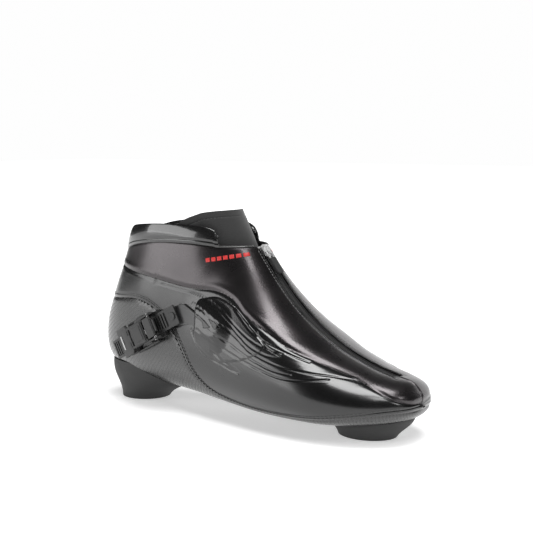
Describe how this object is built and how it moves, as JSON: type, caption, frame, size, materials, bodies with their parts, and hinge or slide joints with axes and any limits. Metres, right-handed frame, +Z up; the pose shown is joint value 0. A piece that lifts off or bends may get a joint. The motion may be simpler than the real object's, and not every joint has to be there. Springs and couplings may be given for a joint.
{
  "type": "speed skating boot",
  "caption": "Low-cut speed skating boot with a carbon heel and sole, zipped lace cover, ratchet ankle strap and two mounting blocks for a skate frame.",
  "frame": {"origin": "on the floor plane under the boot, midway between the two frame bolts", "axes": "+X towards the toe, +Z up, the lateral (outer) side of this right boot faces -Y"},
  "size_m": [0.2678, 0.0932, 0.1454],
  "materials": {
    "smooth_leather": "gloss black coated leather",
    "grain_leather": "semi-gloss grained black leather",
    "patent_band": "gloss black collar band",
    "piping": "black piping",
    "lining": "black padded lining",
    "carbon": "clear-coated carbon weave",
    "rubber_block": "moulded black composite",
    "tongue_fabric": "matte charcoal fabric",
    "zip_tape": "black zip tape",
    "zip_coil": "black coil",
    "zip_metal": "polished nickel",
    "pull_rubber": "matte black",
    "buckle_plastic": "dark grey moulded nylon",
    "strap_plastic": "black ribbed strap",
    "strap_leather": "dark grey smooth strap",
    "steel": "steel pins, screws and inserts",
    "lace_cord": "flat black lace",
    "insole_foam": "black foam insole"
  },
  "bodies": {
    "boot": {"carbon_shell": "carbon", "quarter_lateral": "grain_leather", "quarter_medial": "grain_leather", "upper_panel_lateral": "smooth_leather", "upper_panel_medial": "smooth_leather", "collar_band": "patent_band", "collar_piping": "piping", "collar_padding": "lining", "inner_boot": "lining", "insole": "insole_foam", "tongue_base": "tongue_fabric", "eyelets": "steel", "lace": "lace_cord", "zip_tape_lateral": "zip_tape", "zip_tape_medial": "zip_tape", "zip_teeth_lateral": "zip_coil", "zip_teeth_medial": "zip_coil", "zip_bottom_stop": "zip_metal", "rear_mount_block": "rubber_block", "front_mount_block": "rubber_block", "rear_mount_insert": "steel", "front_mount_insert": "steel", "strap_cover": "smooth_leather", "buckle_base": "buckle_plastic", "buckle_screws": "steel", "buckle_nut_plate": "steel", "lever_pin": "steel", "latch_pin": "steel", "buckle_springs": "steel"},
    "upper_tongue": {"tongue_top": "tongue_fabric"},
    "slider": {"zip_slider": "zip_metal"},
    "pull": {"zip_pull": "zip_metal", "pull_tab": "pull_rubber"},
    "strap": {"ladder_strap": "strap_plastic", "ankle_strap": "strap_leather", "strap_rivet": "steel"},
    "lever": {"buckle_lever": "buckle_plastic"},
    "latch": {"release_latch": "buckle_plastic"}
  },
  "joints": [
    {"name": "zip_travel", "type": "hinge", "parent": "boot", "child": "slider", "pos_m": [0.149, 0, 0.194], "axis": [0, -1, 0], "range_deg": [0, 43.5]},
    {"name": "pull_swing", "type": "hinge", "parent": "slider", "child": "pull", "pos_m": [0.01549, 0, 0.11723], "axis": [0, -1, 0], "range_deg": [0, 140]},
    {"name": "strap_travel", "type": "hinge", "parent": "boot", "child": "strap", "pos_m": [-0.04043, 0.2058, 0.07039], "axis": [-0.4661, 0.0029, 0.8847], "range_deg": [-1, 0.5]},
    {"name": "lever_lift", "type": "hinge", "parent": "boot", "child": "lever", "pos_m": [-0.06328, -0.04041, 0.05915], "axis": [-0.4661, 0.0029, 0.8847], "range_deg": [0, 65], "stiffness_Nm_per_rad": 0.02},
    {"name": "latch_release", "type": "hinge", "parent": "boot", "child": "latch", "pos_m": [-0.05671, -0.04142, 0.06262], "axis": [-0.4661, 0.0029, 0.8847], "range_deg": [0, 15], "stiffness_Nm_per_rad": 0.01},
    {"name": "tongue_flex", "type": "hinge", "parent": "boot", "child": "upper_tongue", "pos_m": [0.002, 0, 0.1193], "axis": [0, 1, 0], "range_deg": [-2, 10], "stiffness_Nm_per_rad": 0.5}
  ]
}
